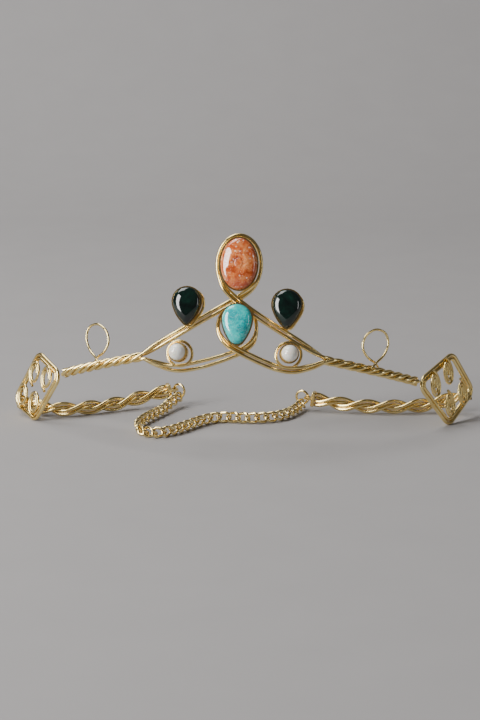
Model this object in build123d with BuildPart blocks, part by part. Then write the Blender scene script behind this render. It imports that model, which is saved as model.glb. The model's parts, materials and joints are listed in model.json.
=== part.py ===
from build123d import *
import os
from math import asin, atan2, ceil, copysign, cos, degrees, pi, radians, sin, tan

# A wire circlet set with cabochons and pearls, standing on the lower corners of its
# two side panels, with its safety chain lying slack on the surface.
# Millimetres, +Z up, the front faces -Y, and the origin is on the surface under the middle.

# Wires
WIRE = 1.3                # the four main wires, twisted into the front ropes
ARM_WIRE = 1.25           # back arms
COIL_WIRE = 1.0           # leaf coils in the panels, loops round pears and pearls
LOOP_WIRE = 0.85          # standing loops
SOLDER_GAP = 0.06         # pieces that touch are kept this far apart
PAIR_HALF = 0.7           # half the distance between the two wires of a pair
OPEN_HALF = 0.78          # the same where a pair twists or runs inward

# Plan of the front: one flat arc, two tighter arcs at the temples, all leaning back
FRONT_RADIUS = 125.0
TEMPLE_RADIUS = 73.0
FRONT_TURN = radians(13.8)
PANEL_TURN = radians(50.0)
LEAN = radians(19.0)
CENTRE_X = 0.16           # the plan curve's own middle, from the middle of the whole circlet
FRONT_Y = -32.52          # the plan curve's front point

# Side panels: flat diamonds that lean in less than the front does
PANEL_LEAN = radians(12.0)
PANELS = {
    # side: sign of x, centre of the diamond, and its corners as (along, up) in its plane
    "left": dict(sign=-1, x=-73.54, y=7.18, z=11.76,
                 front=(-15.2, 7.6), top=(2.4, 13.1), rear=(14.7, -8.4), bottom=(-2.8, -12.6)),
    "right": dict(sign=1, x=73.3, y=7.88, z=11.17,
                  front=(-17.7, 6.9), top=(6.2, 14.1), rear=(15.8, -2.6), bottom=(-2.6, -12.6)),
}
CORNER_RADIUS = 4.2

# Ropes of four wires
ROPE_PITCH = 16.0
ROPE_RADIUS = 1.1         # at the bends of its path, which the rounding brings in to 1.02
STEPS_PER_TURN = 8
ROPES = {
    # side: where the rope's inner end is (s, h), and where it meets the panel
    "left": dict(sign=-1, inner_s=33.5, inner_h=31.2, outer_s=69.3),
    "right": dict(sign=1, inner_s=29.4, inner_h=30.8, outer_s=67.4),
}
ROPE_SLOPE = 0.26
ROPE_SAG = 0.0013


def on_band(s, h, out=0.0):
    """Point of the leaning front: s along the curve, h up its face, out in front of it."""
    side = -1 if s < 0 else 1
    inset = h * sin(LEAN)
    front = (FRONT_RADIUS - inset) * FRONT_TURN
    temple = front + (TEMPLE_RADIUS - inset) * (PANEL_TURN - FRONT_TURN)
    s = abs(s)
    if s <= front:
        turn = s / (FRONT_RADIUS - inset)
    elif s <= temple:
        turn = FRONT_TURN + (s - front) / (TEMPLE_RADIUS - inset)
    else:
        turn = PANEL_TURN
    beyond = max(s - temple, 0.0)
    first = min(turn, FRONT_TURN)
    x = FRONT_RADIUS * sin(first) + TEMPLE_RADIUS * (sin(turn) - sin(first)) + beyond * cos(turn)
    y = FRONT_RADIUS * (1 - cos(first)) + TEMPLE_RADIUS * (cos(first) - cos(turn)) + beyond * sin(turn)
    back = inset - out * cos(LEAN)
    return Vector(CENTRE_X + side * (x - back * sin(turn)), FRONT_Y + y + back * cos(turn),
                  h * cos(LEAN) + out * sin(LEAN))


def band_plane(s, h, out=0.0, tilt=0.0):
    """Plane that lies on the front's face at (s, h), its Y up the face, turned by tilt degrees."""
    origin = on_band(s, h, out)
    along = on_band(s + 0.5, h, out) - on_band(s - 0.5, h, out)
    outward = on_band(s, h, out + 1) - origin
    return Plane(origin=origin, x_dir=along, z_dir=outward).rotated((0, 0, tilt))


def panel_plane(side):
    """Plane of a side panel: X runs back along it, Y up it, Z points outward or inward."""
    panel = PANELS[side]
    sign = panel["sign"]
    along = Vector(sign * cos(PANEL_TURN), sin(PANEL_TURN), 0)
    outward = Vector(sign * sin(PANEL_TURN), -cos(PANEL_TURN), 0)
    up = Vector(0, 0, cos(PANEL_LEAN)) - outward * sin(PANEL_LEAN)
    return Plane(origin=(panel["x"], panel["y"], panel["z"]), x_dir=along, z_dir=along.cross(up))


def rounded_route(points, closed=False):
    """Straight runs joined by tangent arcs, each arc as large as its two runs allow."""
    count = len(points)
    arcs = []
    for i in range(count) if closed else range(1, count - 1):
        corner = points[i]
        back = points[i - 1] - corner
        ahead = points[(i + 1) % count] - corner
        reach = 0.45 * min(back.length, ahead.length)
        half = radians(back.get_angle(ahead)) / 2
        inward = (back.normalized() + ahead.normalized()).normalized()
        start = corner + back.normalized() * reach
        end = corner + ahead.normalized() * reach
        middle = corner + inward * (reach / cos(half) - reach * tan(half))
        arcs.append((start, middle, end))
    with BuildLine() as route:
        for arc, following in zip(arcs, arcs[1:] + arcs[:1]):
            ThreePointArc(*arc)
            if closed or arc is not arcs[-1]:
                Line(arc[2], following[0])
        if not closed:
            Line(points[0], arcs[0][0])
            Line(arcs[-1][2], points[-1])
    return route.wire()


def wire_piece(name, points, diameter, closed=False):
    """A round wire along a rounded route, labelled and written as its own part."""
    route = rounded_route(points, closed)
    with BuildPart() as piece:
        with BuildSketch(Plane(origin=route @ 0, z_dir=route % 0)):
            Circle(diameter / 2)
        sweep(path=route)
    save(name, piece)


def save(name, piece):
    """Label a finished sub-part and write its STEP file."""
    piece.part.label = name
    export_step(piece.part, f"parts/{name}.step")


def rope_axis(side, s):
    """Height of a rope's axis up the face, for its distance s from the middle."""
    rope = ROPES[side]
    run = s - rope["inner_s"]
    return rope["inner_h"] - ROPE_SLOPE * run - ROPE_SAG * run ** 2


def rope_strand(side, start_angle):
    """Points of one of a rope's wires, from its inner end out to the panel."""
    rope = ROPES[side]
    length = rope["outer_s"] - rope["inner_s"]
    steps = ceil(length / ROPE_PITCH * STEPS_PER_TURN)
    points = []
    for i in range(steps + 1):
        run = length * i / steps
        s = rope["inner_s"] + run
        # both ropes have the same hand, so the turn runs the other way on the other side
        angle = start_angle - rope["sign"] * 2 * pi * run / ROPE_PITCH
        up = ROPE_RADIUS * cos(angle)
        out = ROPE_RADIUS * sin(angle)
        points.append(on_band(rope["sign"] * s, rope_axis(side, s) + up, out))
    return points


def pair_wire(rows, wire):
    """Points of one wire of a pair that runs through rows of (s, h, out, turn, half).

    turn is the angle of the pair: 0 is side by side on the face, 90 one before the other.
    half is half the distance between the two wires."""
    points = []
    for i, (s, h, out, turn, half) in enumerate(rows):
        before = rows[max(i - 1, 0)]
        after = rows[min(i + 1, len(rows) - 1)]
        heading = atan2(after[1] - before[1], after[0] - before[0])
        across = wire * half * cos(radians(turn))
        depth = wire * half * sin(radians(turn))
        points.append(on_band(s - across * sin(heading), h + across * cos(heading), out + depth))
    return points


def ring_rows(centre, half_s, half_h, angles, turn, half):
    """Rows of a pair that runs round an oval, at the given angles in degrees."""
    s, h = centre
    return [(s + half_s * cos(radians(a)), h + half_h * sin(radians(a)), 0.0, turn, half)
            for a in angles]


os.makedirs("parts", exist_ok=True)

# Upper pair: from the left rope up to the crossing, round the top stone, and down to the right rope.
# Columns: s, h, out, turn, half the spacing
TOP_STONE = (-0.3, 64.1)
TOP_LOOP = (7.6, 10.35)
UPPER_ROWS = (
    [(-33.5, 31.9, 0.0, 90, OPEN_HALF),
     (-30.0, 34.4, 0.0, 50, OPEN_HALF),
     (-25.0, 37.6, 0.0, 0, PAIR_HALF),
     (-17.0, 42.6, 0.0, 0, PAIR_HALF),
     (-9.0, 47.6, -0.6, 0, PAIR_HALF),
     (-1.4, 52.1, -0.9, 0, PAIR_HALF),
     (3.6, 55.6, -0.6, 50, OPEN_HALF)]
    + ring_rows(TOP_STONE, *TOP_LOOP, range(-34, 215, 22), 90, PAIR_HALF)
    + [(-5.3, 56.0, 0.6, 130, OPEN_HALF),
       (-1.4, 52.1, 0.9, 180, PAIR_HALF),
       (5.0, 47.3, 0.6, 180, PAIR_HALF),
       (13.0, 42.1, 0.0, 180, PAIR_HALF),
       (21.0, 36.9, 0.0, 180, PAIR_HALF),
       (26.0, 33.6, 0.0, 130, OPEN_HALF),
       (29.4, 31.5, 0.0, 90, OPEN_HALF)]
)

# Lower pair: under the pearls, crossing below the egg-shaped stone and looping round it
MID_STONE = (-0.7, 43.3)
LOWER_ROWS = (
    [(-33.5, 30.5, 0.0, 90, OPEN_HALF),
     (-29.5, 29.2, -0.2, 50, OPEN_HALF),
     (-22.0, 27.6, -0.7, 0, 0.9),
     (-14.0, 29.4, -0.7, 0, 1.1),
     (-6.5, 31.8, -0.9, 0, 0.9),
     (0.2, 34.3, -0.9, 0, OPEN_HALF),
     (4.6, 37.2, -0.8, 50, OPEN_HALF),
     (6.1, 41.5, -0.8, 90, OPEN_HALF),
     (5.4, 46.2, -1.9, 90, OPEN_HALF),
     (2.6, 49.6, -3.0, 90, OPEN_HALF),
     (-1.0, 50.4, -3.3, 90, OPEN_HALF),
     (-4.6, 49.4, -3.3, 90, OPEN_HALF),
     (-7.2, 46.0, -2.3, 90, OPEN_HALF),
     (-7.6, 41.5, -0.4, 90, OPEN_HALF),
     (-5.0, 37.3, 0.5, 130, OPEN_HALF),
     (0.2, 34.3, 0.9, 180, PAIR_HALF),
     (7.0, 31.0, 0.8, 180, PAIR_HALF),
     (13.0, 28.5, 0.3, 180, PAIR_HALF),
     (19.0, 27.5, 0.0, 180, PAIR_HALF),
     (25.0, 28.7, 0.0, 140, OPEN_HALF),
     (29.4, 30.1, 0.0, 90, OPEN_HALF)]
)

STRANDS = {
    # name: rows, which wire of the pair, and its angle in the rope
    "upper_front_wire": (UPPER_ROWS, 1, pi / 4),
    "upper_rear_wire": (UPPER_ROWS, -1, -pi / 4),
    "lower_front_wire": (LOWER_ROWS, 1, 3 * pi / 4),
    "lower_rear_wire": (LOWER_ROWS, -1, -3 * pi / 4),
}
for name, (rows, wire, angle) in STRANDS.items():
    left = rope_strand("left", angle)[::-1]
    right = rope_strand("right", angle)
    middle = pair_wire(rows, wire)
    wire_piece(name, left + middle[1:-1] + right, WIRE)

# Panels: a double frame of wire round four leaf coils, each drawn from an outer outline inward.
# Leaf coils, columns: name, along and up in the panel's plane
COILS = {
    "left": [("front", -6.9, 4.7), ("top", 1.2, 5.0), ("rear", 6.6, -4.4), ("bottom", -1.4, -5.6)],
    "right": [("front", -8.0, 4.1), ("top", 0.1, 7.1), ("rear", 6.5, -1.6), ("bottom", -1.5, -4.4)],
}
# Each side's coils: half width, half height, turns, and 1 or -1 for a tip that points up or down
COIL_FORMS = {"left": (3.45, 4.7, 1.75, -1), "right": (2.95, 4.9, 2.4, 1)}
COIL_STEPS = 8
COIL_PITCH = COIL_WIRE + SOLDER_GAP
COIL_OUT = (WIRE + COIL_WIRE) / 2 + SOLDER_GAP
COIL_CLOSING = 1.35       # how much faster a coil's height shrinks than its width
TIP_PINCH = 0.25          # share of the width that a coil's pointed end loses
TIP_REACH = 0.4           # how much farther the pointed end reaches


def leaf_points(plane, along, up, half_width, half_height, turns, pointing):
    """A flat spiral with one pointed and one round end, wound inward from its tip."""
    points = []
    steps = int(turns * COIL_STEPS)
    for i in range(steps + 1):
        turn = i / COIL_STEPS
        angle = 2 * pi * turn
        width = half_width - COIL_PITCH * turn
        height = half_height - COIL_CLOSING * COIL_PITCH * turn
        tip = max(cos(angle), 0.0) ** 3
        u = along + width * sin(angle) * (1 - TIP_PINCH * tip)
        v = up + pointing * (height * cos(angle) + TIP_REACH * tip)
        points.append(plane.from_local_coords(Vector(u, v, 0)))
    return points


for side, panel in PANELS.items():
    plane = panel_plane(side)
    coil_plane = plane.offset(panel["sign"] * COIL_OUT)
    corners = [panel[corner] for corner in ("front", "top", "rear", "bottom")]
    for ring, inset in (("outer", WIRE / 2), ("inner", 1.5 * WIRE + SOLDER_GAP)):
        with BuildPart() as frame:
            with BuildLine(plane) as outline:
                Polyline(*corners, close=True)
                offset(amount=-inset, kind=Kind.INTERSECTION, mode=Mode.REPLACE)
                fillet(outline.vertices(), CORNER_RADIUS - inset)
            path = outline.wire()
            with BuildSketch(Plane(origin=path @ 0, z_dir=path % 0)):
                Circle(WIRE / 2)
            sweep(path=path)
        save(f"{side}_panel_{ring}_wire", frame)
    for leaf, along, up in COILS[side]:
        wire_piece(f"{side}_{leaf}_coil", leaf_points(coil_plane, along, up, *COIL_FORMS[side]), COIL_WIRE)

# Settings: a thin wall round a floor, with a domed stone that stands above the rim
MOUNT_OUT = 1.5           # backs of the settings, just in front of the wires behind them
WALL = 0.3
STONE_GAP = 0.1
FLOOR = 0.4
TIP_INSET = 1.3           # how much more a drop's tip moves in than its sides
DROP_MIDDLE = 0.3         # a drop's middle, as a share of its tip's depth
DOME_ANGLES = (0, 20, 38, 54, 68, 80)
DROPS = {
    # name: s, h, tilt, back, radius of the round end, how far it turns past the middle,
    # depth of the tip below the round end's centre, radius of the tip
    "middle": dict(s=-0.7, h=45.2, tilt=0, back=1.5, round=5.5, past=8, tip=10.4, tip_radius=2.9,
                   rim=1.5, dome=2.4),
    "left_pear": dict(s=-17.7, h=50.8, tilt=5.5, back=1.95, round=5.25, past=16, tip=8.8,
                      tip_radius=1.1, rim=1.3, dome=2.5),
    "right_pear": dict(s=16.0, h=50.1, tilt=-10, back=1.95, round=5.4, past=16, tip=9.0,
                       tip_radius=1.1, rim=1.3, dome=2.5),
}
TEETH_PITCH = 1.15
TOOTH_CUT = 0.45
TOP_HALF_S = 6.7
TOP_HALF_H = 9.3
TOP_RIM = 1.5
TOP_DOME = 2.7


def drop(sketch, shape, inset, shrink=1.0):
    """Draw a drop with its tip down, its round end's centre at the origin, inset all round."""
    radius = (shape["round"] - inset) * shrink
    x = radius * cos(radians(shape["past"]))
    y = -radius * sin(radians(shape["past"]))
    tip = (0, (TIP_INSET * inset - shape["tip"]) * shrink)
    with BuildLine() as outline:
        crown = ThreePointArc((x, y), (0, radius), (-x, y))
        TangentArc((-x, y), tip, tangent=crown % 1)
        TangentArc((x, y), tip, tangent=-(crown % 0))
    make_face(outline.edges())
    fillet(sketch.vertices().sort_by(Axis.Y)[0], shape["tip_radius"] * shrink)


def dome_levels(rim, dome):
    """Heights and shrink factors of a cabochon's sections, from its base to its crown."""
    levels = [(FLOOR + SOLDER_GAP, 1.0)]
    levels += [(rim + dome * sin(radians(a)), cos(radians(a))) for a in DOME_ANGLES]
    return levels


with BuildPart() as top_bezel:
    with BuildSketch(band_plane(*TOP_STONE, MOUNT_OUT)):
        Ellipse(TOP_HALF_S, TOP_HALF_H)
    extrude(amount=TOP_RIM)
    with BuildSketch(band_plane(*TOP_STONE, MOUNT_OUT + FLOOR)):
        Ellipse(TOP_HALF_S - WALL, TOP_HALF_H - WALL)
    extrude(amount=TOP_RIM, mode=Mode.SUBTRACT)
save("top_bezel", top_bezel)

with BuildPart() as top_stone:
    for height, shrink in dome_levels(TOP_RIM, TOP_DOME):
        with BuildSketch(band_plane(*TOP_STONE, MOUNT_OUT + height)):
            Ellipse((TOP_HALF_S - WALL - STONE_GAP) * shrink, (TOP_HALF_H - WALL - STONE_GAP) * shrink)
    loft()
save("top_stone", top_stone)

for name, shape in DROPS.items():
    plane = band_plane(shape["s"], shape["h"], shape["back"], shape["tilt"])
    with BuildPart() as bezel:
        with BuildSketch(plane) as outline:
            drop(outline, shape, 0)
        extrude(amount=shape["rim"])
        with BuildSketch(plane.offset(FLOOR)) as pocket:
            drop(pocket, shape, WALL)
        extrude(amount=shape["rim"], mode=Mode.SUBTRACT)
        if name != "middle":  # only the two pears have toothed rims
            edge = outline.sketch.face().outer_wire()
            count = round(edge.length / TEETH_PITCH)
            turned = plane.location.orientation
            rim_spots = [Location((edge @ (i / count)) + plane.z_dir * shape["rim"], turned)
                         for i in range(count)]
            with Locations(*rim_spots):
                Cylinder(TOOTH_CUT / 2, TOOTH_CUT * 2, mode=Mode.SUBTRACT)
    save(f"{name}_bezel", bezel)

    with BuildPart() as stone:
        for height, shrink in dome_levels(shape["rim"], shape["dome"]):
            # the sections shrink toward the middle of the outline, not toward its round end
            middle = Vector(0, DROP_MIDDLE * shape["tip"] * (shrink - 1), height)
            section = Plane(origin=plane.from_local_coords(middle), x_dir=plane.x_dir, z_dir=plane.z_dir)
            with BuildSketch(section) as outline:
                drop(outline, shape, WALL + STONE_GAP, shrink)
        loft()
    save(f"{name}_stone", stone)

# A wire loop stands behind each pear and shows below it on the right
PEAR_LOOP = dict(wide=4.8, narrow=1.4, spacing=6.4, aside=0.75, down=-0.5, out=1.23)


def hull_points(plane, wide, narrow, spacing):
    """Points of a closed route round two circles, none of whose runs cuts into them."""
    dip = degrees(asin((wide - narrow) / spacing))
    points = []
    for radius, up, start, end, steps in ((wide, 0, -dip, 180 + dip, 8),
                                          (narrow, -spacing, 180 + dip, 360 - dip, 3)):
        step = (end - start) / steps
        reach = radius / cos(radians(step / 2))
        for i in range(steps + 1):
            angle = radians(start + step * i)
            points.append(plane.from_local_coords(Vector(reach * cos(angle), up + reach * sin(angle), 0)))
    return points


for side in ("left", "right"):
    shape = DROPS[f"{side}_pear"]
    plane = band_plane(shape["s"] + PEAR_LOOP["aside"], shape["h"] + PEAR_LOOP["down"], PEAR_LOOP["out"],
                       shape["tilt"])
    points = hull_points(plane, PEAR_LOOP["wide"], PEAR_LOOP["narrow"], PEAR_LOOP["spacing"])
    wire_piece(f"{side}_pear_loop", points, COIL_WIRE, closed=True)

# Pearls in toothed cups, each with a wire that curls round it from the end of the rope
PEARL_RADIUS = 2.85
CUP_RADIUS = 3.35
CUP_HEIGHT = 1.9
CUP_TEETH = 18
CURL_RADIUS = 4.4
CURL_OUT = 1.45
CURL_ANGLES = range(285, -66, -25)   # from under the pearl, over the top and round again
PEARLS = {"left": (-20.3, 33.2), "right": (16.8, 33.2)}
CURL_CENTRES = {"left": (-20.1, 32.9), "right": (16.75, 32.9)}
# the lead from the rope, columns: distance from the middle, h, out
CURL_LEADS = {
    "left": [(31.8, 30.0, 2.1), (28.5, 28.9, 2.1), (24.5, 28.3, 1.6)],
    "right": [(28.6, 30.3, 2.1), (25.3, 29.2, 2.1), (21.3, 28.4, 1.6)],
}
for side in ("left", "right"):
    sign = PANELS[side]["sign"]
    plane = band_plane(*PEARLS[side], MOUNT_OUT)
    with BuildPart() as cup:
        with BuildSketch(plane):
            Circle(CUP_RADIUS)
        extrude(amount=CUP_HEIGHT)
        with Locations(Location(plane.origin + plane.z_dir * (FLOOR + PEARL_RADIUS + SOLDER_GAP))):
            Sphere(PEARL_RADIUS + SOLDER_GAP, mode=Mode.SUBTRACT)
        with Locations(plane.offset(CUP_HEIGHT)):
            with PolarLocations(CUP_RADIUS, CUP_TEETH):
                Cylinder(TOOTH_CUT / 2, TOOTH_CUT * 2, mode=Mode.SUBTRACT)
    save(f"{side}_pearl_cup", cup)
    with BuildPart() as pearl:
        with Locations(Location(plane.origin + plane.z_dir * (FLOOR + PEARL_RADIUS + SOLDER_GAP))):
            Sphere(PEARL_RADIUS)
    save(f"{side}_pearl", pearl)
    centre_s, centre_h = CURL_CENTRES[side]
    points = [on_band(sign * s, h, out) for s, h, out in CURL_LEADS[side]]
    for angle in CURL_ANGLES:
        points.append(on_band(centre_s + sign * CURL_RADIUS * cos(radians(angle)),
                              centre_h + CURL_RADIUS * sin(radians(angle)), CURL_OUT))
    wire_piece(f"{side}_pearl_curl", points, COIL_WIRE)

# Standing loops: teardrops that cross just above the rope and end before and behind it
# columns: outward along the rope, up from the crossing, out
TEARDROP = [(3.4, -2.6, -2.45), (2.0, -0.9, -2.1), (0.2, 0.5, -0.75), (-3.6, 2.6, 0), (-5.7, 6.4, 0),
            (-4.3, 10.4, 0), (0.2, 12.2, 0), (4.6, 10.3, 0), (5.7, 6.2, 0), (3.5, 2.5, 0),
            (-0.3, 0.5, 0.75), (-1.9, -0.3, 2.05), (-3.3, -1.3, 2.45)]
LOOP_SPOTS = {"left": 53.2, "right": 49.0}
LOOP_RISE = 2.5
for side, spot in LOOP_SPOTS.items():
    sign = PANELS[side]["sign"]
    base = rope_axis(side, spot) + LOOP_RISE
    wire_piece(f"{side}_standing_loop",
               [on_band(sign * (spot + along), base + up, out) for along, up, out in TEARDROP], LOOP_WIRE)

# Back arms: two interlaced strands of two wires each, along a route of (x, y, z)
ARM_ROUTES = {
    "left": [(-81.9, 17.6, 3.6), (-78.3, 16.3, 3.0), (-74.3, 13.3, 2.8), (-69.8, 10.5, 2.8),
             (-64.8, 9.7, 2.8), (-59.8, 10.7, 2.8), (-54.5, 13.1, 2.8), (-49.8, 15.5, 2.85),
             (-45.4, 18.1, 3.0), (-40.8, 20.5, 3.7), (-36.6, 22.4, 4.4), (-32.4, 24.0, 5.1),
             (-28.4, 25.3, 5.8)],
    "right": [(81.6, 19.5, 8.0), (77.7, 20.7, 6.2), (73.2, 20.7, 4.6), (68.0, 20.3, 3.2), (61.2, 19.3, 2.8),
              (54.8, 18.5, 2.8), (49.2, 18.3, 2.8), (44.7, 18.4, 2.8), (38.9, 19.1, 3.0), (32.2, 20.3, 3.6),
              (26.2, 21.5, 4.4)],
}
ARM_PITCH = 19.0
ARM_STEPS = 12
STRAND_UP = 1.4
STRAND_ASIDE = 0.94
STRAND_HALF = 0.7


def arm_points(side, strand, wire):
    """Points of one of an arm's wires; strand and wire are +1 or -1."""
    route = rounded_route([Vector(*point) for point in ARM_ROUTES[side]])
    steps = round(route.length / ARM_PITCH * ARM_STEPS)
    points = []
    for i in range(steps + 1):
        along = route % (i / steps)
        aside = Vector(0, 0, 1).cross(along).normalized()
        up = along.cross(aside)
        angle = 2 * pi * route.length * i / steps / ARM_PITCH
        offset_up = strand * STRAND_UP * cos(angle) + wire * STRAND_HALF
        offset_aside = strand * STRAND_ASIDE * sin(angle)
        points.append((route @ (i / steps)) + up * offset_up + aside * offset_aside)
    return points


for side in ("left", "right"):
    for strand, strand_name in ((1, "first"), (-1, "second")):
        for wire, wire_name in ((1, "upper"), (-1, "lower")):
            name = f"{side}_arm_{strand_name}_{wire_name}_wire"
            wire_piece(name, arm_points(side, strand, wire), ARM_WIRE)

# A cap closes each arm; its tongue has a hole for the jump ring that holds the chain
CAP_GAP = 0.2
CAP_LENGTH = 1.3
CAP_WIDTH = 3.3
CAP_HEIGHT = 5.4
CAP_ROUNDING = 0.4
TONGUE_LENGTH = 2.6
TONGUE_WIDTH = 2.6
TONGUE_THICKNESS = 0.9
TONGUE_ROOT = 0.4         # how far the tongue is sunk into the cap
HOLE_DIAMETER = 1.5
RING_WIRE = 0.9
RING_RADIUS = 2.35
RING_HEADINGS = {"left": -33, "right": 156}   # degrees from +X, toward the ring's middle
ring_bottoms = {}
for side, route in ARM_ROUTES.items():
    end = Vector(*route[-1])
    along = (end - Vector(*route[-2])).normalized()
    aside = Vector(0, 0, 1).cross(along).normalized()
    plane = Plane(origin=end + along * (CAP_GAP + CAP_LENGTH / 2), x_dir=along, z_dir=along.cross(aside))
    hole = CAP_LENGTH / 2 + TONGUE_LENGTH - TONGUE_WIDTH / 2
    with BuildPart(plane) as cap:
        Box(CAP_LENGTH, CAP_WIDTH, CAP_HEIGHT)
        fillet(cap.edges(), CAP_ROUNDING)
        with Locations(((CAP_LENGTH + TONGUE_LENGTH - TONGUE_ROOT) / 2, 0, 0)):
            Box(TONGUE_LENGTH + TONGUE_ROOT, TONGUE_WIDTH, TONGUE_THICKNESS)
        with Locations((hole, 0, 0)):
            Cylinder(HOLE_DIAMETER / 2, CAP_HEIGHT, mode=Mode.SUBTRACT)
    save(f"{side}_cap", cap)
    heading = radians(RING_HEADINGS[side])
    reach = Vector(cos(heading), sin(heading), 0)
    centre = plane.from_local_coords(Vector(hole, 0, 0)) + reach * RING_RADIUS
    with BuildPart() as ring:
        with Locations(Plane(origin=centre, x_dir=reach, z_dir=reach.cross(Vector(0, 0, 1)))):
            Torus(RING_RADIUS, RING_WIRE / 2)
    save(f"{side}_ring", ring)
    ring_bottoms[side] = centre - Vector(0, 0, RING_RADIUS)

# Chain: curb links, each an oval twisted so that its two ends stand across each other
LINK_WIRE = 1.0
LINK_HALF_LENGTH = 2.4    # to the middle of the wire
LINK_HALF_WIDTH = 1.65
LINK_TWIST = 50.0         # at each end, in degrees
LINK_SQUARENESS = 0.75
LINK_BENDS = 6            # in each half of a link
LINK_PITCH = 3.4
CHAIN_Z = 2.06
CHAIN_SPOTS = [(-27.5, 18.0, 2.6), (-28.3, 14.5, CHAIN_Z), (-31.4, 8.1, CHAIN_Z), (-35.0, -0.5, CHAIN_Z),
               (-36.2, -7.5, CHAIN_Z), (-34.8, -13.5, CHAIN_Z), (-30.9, -16.7, CHAIN_Z),
               (-26.3, -16.2, CHAIN_Z), (-22.6, -12.7, CHAIN_Z), (-14.8, -1.3, CHAIN_Z),
               (-10.3, 3.5, CHAIN_Z), (-5.8, 4.8, CHAIN_Z), (0.9, 3.7, CHAIN_Z), (6.3, 3.9, CHAIN_Z),
               (12.1, 5.5, CHAIN_Z), (16.4, 10.3, CHAIN_Z), (19.2, 16.0, CHAIN_Z)]
RING_TO_LINK = 1.1        # from the middle of a ring's wire to the middle of the chain's end link


def half_link_points():
    """Points of half a link's wire, from the middle of one side round its +X end to the other."""
    points = []
    for i in range(LINK_BENDS):
        angle = pi * ((i + 0.5) / LINK_BENDS - 0.5)
        across = LINK_HALF_WIDTH * copysign(abs(sin(angle)) ** LINK_SQUARENESS, sin(angle))
        share = cos(angle) ** LINK_SQUARENESS
        twist = radians(LINK_TWIST * share)
        points.append(Vector(LINK_HALF_LENGTH * share, across * cos(twist), across * sin(twist)))
    return [Vector(0, points[0].Y, 0)] + points + [Vector(0, points[-1].Y, 0)]


spots = [Vector(*spot) for spot in CHAIN_SPOTS]
to_joint = RING_TO_LINK - LINK_PITCH / 2
first = ring_bottoms["left"] + (spots[0] - ring_bottoms["left"]).normalized() * to_joint
last = ring_bottoms["right"] + (spots[-1] - ring_bottoms["right"]).normalized() * to_joint
route = rounded_route([first] + spots + [last])
count = round(route.length / LINK_PITCH)
joints = [route @ (i / count) for i in range(count + 1)]
link_planes = []
for i in range(count):
    along = (joints[i + 1] - joints[i]).normalized()
    aside = Vector(0, 0, 1).cross(along).normalized()
    # the first and last links' ends stand upright in their rings
    roll = radians(90 - LINK_TWIST + 2 * LINK_TWIST * i / (count - 1))
    normal = along.cross(aside) * cos(roll) + aside * sin(roll)
    link_planes.append(Plane(origin=(joints[i] + joints[i + 1]) / 2, x_dir=along, z_dir=normal))

half_route = rounded_route(half_link_points())
with BuildPart() as half_link:
    with BuildSketch(Plane(origin=half_route @ 0, z_dir=half_route % 0)):
        Circle(LINK_WIRE / 2)
    sweep(path=half_route)

with BuildPart() as link:
    with PolarLocations(0, 2):
        add(half_link.part)

with BuildPart() as chain:
    with Locations(*link_planes):
        add(link.part)
save("chain", chain)
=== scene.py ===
import bpy
import json
from math import cos, pi, radians, sin
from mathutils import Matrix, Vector

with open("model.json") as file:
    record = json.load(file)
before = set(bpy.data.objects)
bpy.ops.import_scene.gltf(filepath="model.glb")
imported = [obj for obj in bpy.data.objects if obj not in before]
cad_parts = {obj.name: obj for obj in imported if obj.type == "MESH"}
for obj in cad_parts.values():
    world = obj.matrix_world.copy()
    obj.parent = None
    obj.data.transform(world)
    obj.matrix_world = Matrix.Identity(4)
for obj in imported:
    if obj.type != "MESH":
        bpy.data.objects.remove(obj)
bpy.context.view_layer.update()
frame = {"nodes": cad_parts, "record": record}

# Camera: the photograph's angle, in metres and degrees
LENS_MM = 100.0
SENSOR_MM = 36.0
CAMERA_ELEVATION = radians(14.0)
CAMERA_AZIMUTH = radians(2.5)
CAMERA_DISTANCE = 0.715
CAMERA_TARGET = Vector((-0.0009, 0.0108, 0.0215))

# Middle of the orange stone, in metres
TOP_STONE_MIDDLE = (-0.0001, -0.015, 0.0620)

# Floor, in metres: level up to a bend that turns it up into the backdrop
FLOOR_SIZE = 3.0
BACKDROP_Y = 0.9
BEND_RADIUS = 0.5
BEND_STEPS = 16
FLOOR_COLOUR = (0.36, 0.345, 0.34)
PATCH_SHADE = 0.97        # how much darker the floor's faint patches are

# Soft lights: name, place, what it looks at, width, height, watts
SOFTBOXES = [
    ("key", (-0.80, -0.52, 0.42), (0, 0, 0.03), 0.34, 0.95, 17.0),
    ("top", (-0.45, 0.25, 1.05), (0, 0.05, 0), 0.8, 0.6, 9.0),
    ("edge", (0.85, -0.45, 0.35), (0, 0, 0.03), 0.12, 0.6, 0.8),
]
WORLD_COLOUR = (0.60, 0.60, 0.62, 1.0)
WORLD_STRENGTH = 0.16

# Gold: shares of the roughness in its smoothest and its dullest patches, and fine scratches
SMOOTHEST = 0.7
DULLEST = 1.5
SCRATCH_STRENGTH = 0.10
SCRATCH_DEPTH = 0.00005


def add_camera():
    """Camera at the photograph's distance and angle to the circlet."""
    away = Vector((sin(CAMERA_AZIMUTH) * cos(CAMERA_ELEVATION),
                   -cos(CAMERA_AZIMUTH) * cos(CAMERA_ELEVATION), sin(CAMERA_ELEVATION)))
    data = bpy.data.cameras.new("camera")
    data.lens = LENS_MM
    data.sensor_width = SENSOR_MM
    data.sensor_height = SENSOR_MM
    data.sensor_fit = "AUTO"
    data.clip_start = 0.01
    data.clip_end = 10.0
    camera = bpy.data.objects.new("camera", data)
    camera.location = CAMERA_TARGET + away * CAMERA_DISTANCE
    camera.rotation_euler = away.to_track_quat("Z", "Y").to_euler()
    bpy.context.scene.collection.objects.link(camera)
    bpy.context.scene.camera = camera


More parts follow.
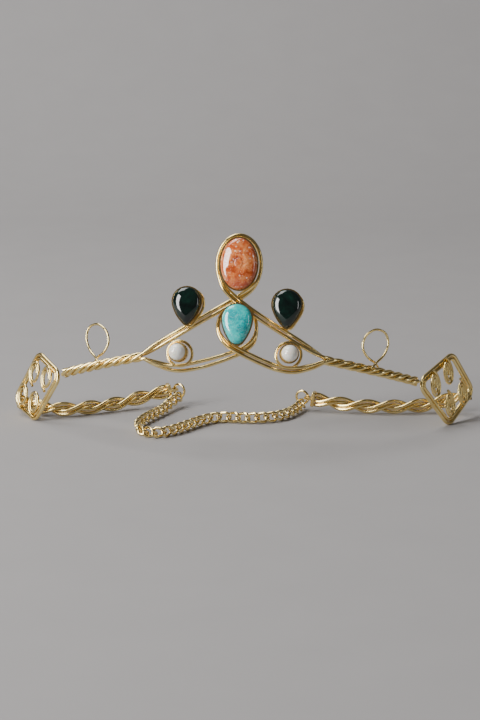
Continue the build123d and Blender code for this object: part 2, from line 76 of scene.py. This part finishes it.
def add_softbox(name, place, target, width, height, power):
    """A rectangular soft light at place that looks at target."""
    data = bpy.data.lights.new(name, "AREA")
    data.shape = "RECTANGLE"
    data.size = width
    data.size_y = height
    data.energy = power
    light = bpy.data.objects.new(name, data)
    light.location = place
    light.rotation_euler = (Vector(place) - Vector(target)).to_track_quat("Z", "Y").to_euler()
    bpy.context.scene.collection.objects.link(light)


def add_world():
    """Dim even surroundings, so that polished wire has something to mirror."""
    world = bpy.data.worlds.new("studio")
    world.use_nodes = True
    background = world.node_tree.nodes["Background"]
    background.inputs["Color"].default_value = WORLD_COLOUR
    background.inputs["Strength"].default_value = WORLD_STRENGTH
    bpy.context.scene.world = world


class Shader:
    """A Principled material and short ways to add nodes to it."""

    def __init__(self, name):
        self.material = bpy.data.materials.new(name)
        self.material.use_nodes = True
        self.tree = self.material.node_tree
        self.surface = self.tree.nodes["Principled BSDF"]
        self.place = self.add("ShaderNodeNewGeometry").outputs["Position"]

    def add(self, kind, **settings):
        """A new node with the given settings."""
        node = self.tree.nodes.new(kind)
        for key, value in settings.items():
            setattr(node, key, value)
        return node

    def link(self, output, socket):
        self.tree.links.new(output, socket)

    def set(self, **values):
        """Constant values of the surface's sockets, with _ for a space in their names."""
        for key, value in values.items():
            self.surface.inputs[key.replace("_", " ")].default_value = value

    def noise(self, scale, detail=3.0, roughness=0.55, distortion=0.0):
        """Noise with so many features per metre."""
        node = self.add("ShaderNodeTexNoise")
        node.inputs["Scale"].default_value = scale
        node.inputs["Detail"].default_value = detail
        node.inputs["Roughness"].default_value = roughness
        node.inputs["Distortion"].default_value = distortion
        self.link(self.place, node.inputs["Vector"])
        return node.outputs["Fac"]

    def cells(self, scale):
        """Distance to the middle of the nearest of so many cells per metre."""
        node = self.add("ShaderNodeTexVoronoi")
        node.inputs["Scale"].default_value = scale
        self.link(self.place, node.inputs["Vector"])
        return node.outputs["Distance"]

    def flecks(self, scale, core, edge, clump_scale, clump_from, clump_to):
        """Share of round flecks, so many per metre, that show where a coarser noise is high."""
        spots = self.ramp(self.cells(scale), [(core, (1, 1, 1)), (edge, (0, 0, 0))])
        where = self.ramp(self.noise(clump_scale, 3.0),
                          [(clump_from, (0, 0, 0)), (clump_to, (1, 1, 1))])
        return self.mix(1.0, spots, where, "MULTIPLY")

    def distance(self, centre):
        """Metres from a point of the circlet."""
        node = self.add("ShaderNodeVectorMath", operation="DISTANCE")
        node.inputs[1].default_value = centre
        self.link(self.place, node.inputs[0])
        return node.outputs["Value"]

    def ramp(self, value, stops):
        """Colours by value; stops are (place, colour)."""
        node = self.add("ShaderNodeValToRGB")
        elements = node.color_ramp.elements
        while len(elements) < len(stops):
            elements.new(0.5)
        for element, (at, colour) in zip(elements, stops):
            element.position = at
            element.color = (*colour, 1.0)
        self.link(value, node.inputs["Fac"])
        return node.outputs["Color"]

    def mix(self, share, first, second, blend="MIX"):
        """First and second mixed by share; each is a colour or a node's output."""
        node = self.add("ShaderNodeMix", data_type="RGBA", blend_type=blend)
        if isinstance(share, float):
            node.inputs["Factor"].default_value = share
        else:
            self.link(share, node.inputs["Factor"])
        for name, colour in (("A", first), ("B", second)):
            socket = [s for s in node.inputs if s.name == name and s.type == "RGBA"][0]
            if isinstance(colour, tuple):
                socket.default_value = (*colour, 1.0)
            else:
                self.link(colour, socket)
        return [s for s in node.outputs if s.type == "RGBA"][0]

    def bump(self, height, strength, distance):
        """Relief of a strength and a depth in metres."""
        node = self.add("ShaderNodeBump")
        node.inputs["Strength"].default_value = strength
        node.inputs["Distance"].default_value = distance
        self.link(height, node.inputs["Height"])
        self.link(node.outputs["Normal"], self.surface.inputs["Normal"])

    def colour(self, output):
        """Use a node's output as the surface's colour."""
        self.link(output, self.surface.inputs["Base Color"])


def gold(name, light, dark, roughness):
    """Polished yellow gold: a drawn and handled surface with duller patches."""
    shader = Shader(name)
    shader.set(Metallic=1.0)
    patches = shader.noise(260.0, 4.0, 0.6)
    shader.colour(shader.ramp(patches, [(0.35, dark), (0.62, light)]))
    scratches = shader.noise(2600.0, 2.0)
    rough = shader.add("ShaderNodeMapRange")
    rough.inputs["To Min"].default_value = roughness * SMOOTHEST
    rough.inputs["To Max"].default_value = roughness * DULLEST
    shader.link(shader.noise(700.0, 3.0), rough.inputs["Value"])
    shader.link(rough.outputs["Result"], shader.surface.inputs["Roughness"])
    shader.bump(scratches, SCRATCH_STRENGTH, SCRATCH_DEPTH)
    return shader.material


def orange_stone():
    """Copper-orange stone full of pale glittering flecks, darker round its rim."""
    shader = Shader("orange_stone")
    shader.set(Roughness=0.05, Coat_Weight=1.0, Coat_Roughness=0.02, IOR=1.54)
    clouds = shader.ramp(shader.noise(330.0, 6.0, 0.7, 0.8),
                         [(0.32, (0.28, 0.025, 0.004)), (0.46, (0.62, 0.11, 0.02)),
                          (0.58, (0.85, 0.27, 0.07)), (0.70, (0.98, 0.52, 0.22))])
    rim = shader.ramp(shader.distance(TOP_STONE_MIDDLE),
                      [(0.0048, (0, 0, 0)), (0.0088, (1, 1, 1))])
    body = shader.mix(shader.mix(1.0, rim, (0.75, 0.75, 0.75), "MULTIPLY"), clouds,
                      (0.40, 0.05, 0.008))
    large = shader.flecks(900.0, 0.16, 0.34, 260.0, 0.50, 0.58)
    body = shader.mix(large, body, (1.0, 0.88, 0.74))
    small = shader.flecks(2300.0, 0.14, 0.30, 600.0, 0.44, 0.54)
    body = shader.mix(small, body, (1.0, 0.66, 0.40))
    dark = shader.flecks(1700.0, 0.08, 0.22, 500.0, 0.46, 0.56)
    shader.colour(shader.mix(dark, body, (0.30, 0.02, 0.004)))
    return shader.material


def teal_stone():
    """Blue-green stone, cloudy, with soft pale veins."""
    shader = Shader("teal_stone")
    shader.set(Roughness=0.07, Coat_Weight=1.0, Coat_Roughness=0.03, IOR=1.53)
    shader.surface.inputs["Subsurface Weight"].default_value = 0.2
    shader.surface.inputs["Subsurface Radius"].default_value = (0.0004, 0.0012, 0.0012)
    clouds = shader.ramp(shader.noise(230.0, 5.0, 0.6, 1.4),
                         [(0.32, (0.0, 0.25, 0.30)), (0.48, (0.0, 0.47, 0.48)),
                          (0.62, (0.01, 0.66, 0.62)), (0.76, (0.16, 0.82, 0.74))])
    veins = shader.ramp(shader.noise(420.0, 2.0, 0.5, 2.0),
                        [(0.47, (0, 0, 0)), (0.50, (0.4, 0.4, 0.4)), (0.53, (0, 0, 0))])
    shader.colour(shader.mix(veins, clouds, (0.45, 0.92, 0.85)))
    return shader.material


def green_stone():
    """Near-black green stone with faint lighter streaks."""
    shader = Shader("green_stone")
    shader.set(Roughness=0.05, Coat_Weight=0.6, Coat_Roughness=0.02, IOR=1.5)
    shader.colour(shader.ramp(shader.noise(180.0, 4.0, 0.6, 1.5),
                              [(0.40, (0.0006, 0.004, 0.003)), (0.62, (0.002, 0.016, 0.010)),
                               (0.78, (0.006, 0.045, 0.027))]))
    return shader.material


def pearl():
    """Warm white nacre with a soft pinkish cast."""
    shader = Shader("pearl")
    shader.set(Roughness=0.16, Coat_Weight=0.8, Coat_Roughness=0.10, IOR=1.6)
    shader.surface.inputs["Subsurface Weight"].default_value = 0.3
    shader.surface.inputs["Subsurface Radius"].default_value = (0.0012, 0.0009, 0.0007)
    shader.colour(shader.ramp(shader.noise(420.0, 3.0),
                              [(0.35, (0.93, 0.86, 0.74)), (0.65, (1.0, 0.97, 0.91))]))
    shader.bump(shader.noise(1200.0, 2.0), 0.06, 0.0001)
    return shader.material


def floor_material():
    """Pale plain paper with faint patches."""
    shader = Shader("floor")
    shader.set(Roughness=0.9)
    tint = tuple(c * PATCH_SHADE for c in FLOOR_COLOUR)
    shader.colour(shader.ramp(shader.noise(40.0, 4.0), [(0.3, tint), (0.7, FLOOR_COLOUR)]))
    return shader.material


def add_floor():
    """A level floor that curves up far behind into a plain backdrop."""
    half = FLOOR_SIZE / 2
    bend_y = BACKDROP_Y - BEND_RADIUS
    profile = [(-half, 0.0), (bend_y, 0.0)]
    for i in range(1, BEND_STEPS + 1):
        turn = pi / 2 * i / BEND_STEPS
        profile.append((bend_y + BEND_RADIUS * sin(turn), BEND_RADIUS * (1 - cos(turn))))
    profile.append((BACKDROP_Y, FLOOR_SIZE))
    points = []
    faces = []
    for y, z in profile:
        points += [(-half, y, z), (half, y, z)]
    for i in range(len(profile) - 1):
        faces.append((2 * i, 2 * i + 1, 2 * i + 3, 2 * i + 2))
    mesh = bpy.data.meshes.new("floor")
    mesh.from_pydata(points, [], faces)
    for polygon in mesh.polygons:
        polygon.use_smooth = True
    floor = bpy.data.objects.new("floor", mesh)
    floor.data.materials.append(floor_material())
    bpy.context.scene.collection.objects.link(floor)


def dress_nodes():
    """Give every CAD node its material by its slot, and smooth shading."""
    materials = {
        "gold_wire": gold("gold_wire", (0.96, 0.78, 0.36), (0.82, 0.60, 0.22), 0.16),
        "gold_setting": gold("gold_setting", (0.90, 0.66, 0.28), (0.66, 0.42, 0.13), 0.22),
        "gold_chain": gold("gold_chain", (0.96, 0.80, 0.40), (0.80, 0.60, 0.24), 0.15),
        "orange_stone": orange_stone(),
        "teal_stone": teal_stone(),
        "green_stone": green_stone(),
        "pearl": pearl(),
    }
    slots = {part["node"]: part["material_slot"] for part in frame["record"]["subparts"]}
    for name, node in frame["nodes"].items():
        node.data.materials.clear()
        node.data.materials.append(materials[slots[name]])
        for polygon in node.data.polygons:
            polygon.use_smooth = True
            polygon.material_index = 0


add_camera()
add_world()
for softbox in SOFTBOXES:
    add_softbox(*softbox)
add_floor()
dress_nodes()
